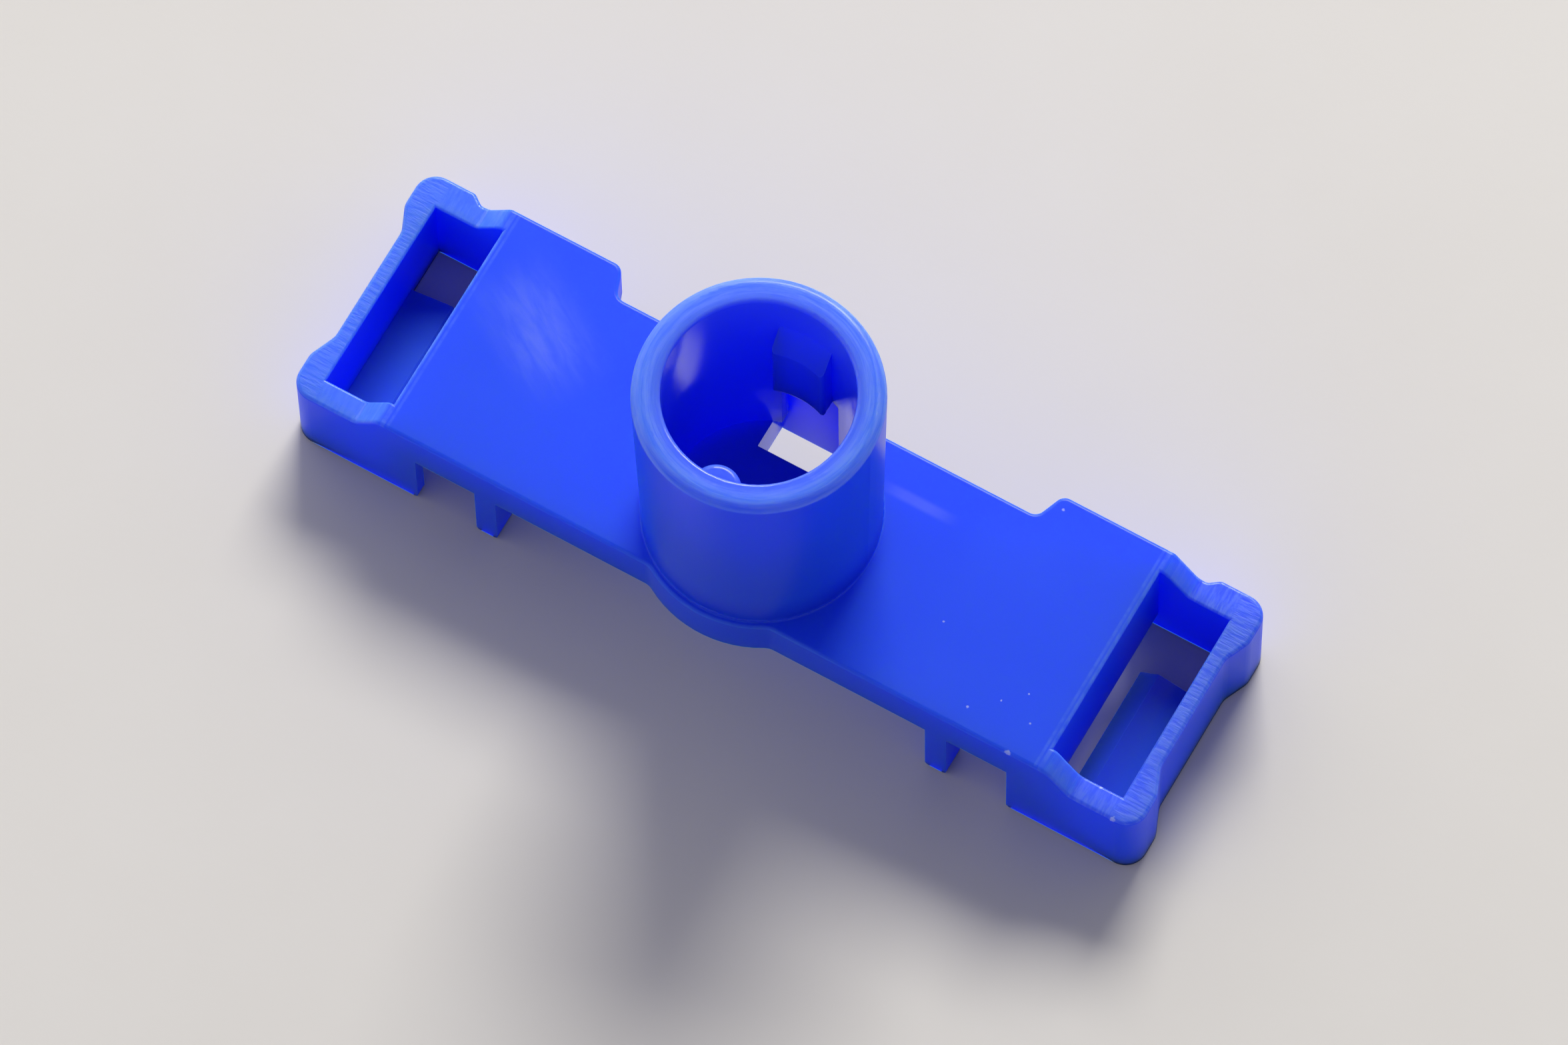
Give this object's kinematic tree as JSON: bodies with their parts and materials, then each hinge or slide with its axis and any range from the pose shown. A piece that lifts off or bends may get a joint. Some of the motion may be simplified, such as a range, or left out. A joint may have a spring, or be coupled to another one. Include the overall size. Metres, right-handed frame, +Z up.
{
  "type": "tube socket strap bracket",
  "caption": "One-piece moulded plastic strap bar with an upright tube socket, a snap tooth in its bore and an open strap frame at each end.",
  "frame": {"origin": "middle of the footprint, at the height of the feet", "axes": "+X along the bar, +Y from the plain front edge to the stepped rear edge, +Z up along the socket"},
  "size_m": [0.0464, 0.0141, 0.021],
  "materials": {
    "body": "satin"
  },
  "bodies": {
    "root": {"strap_socket_moulding": "body"}
  },
  "joints": []
}
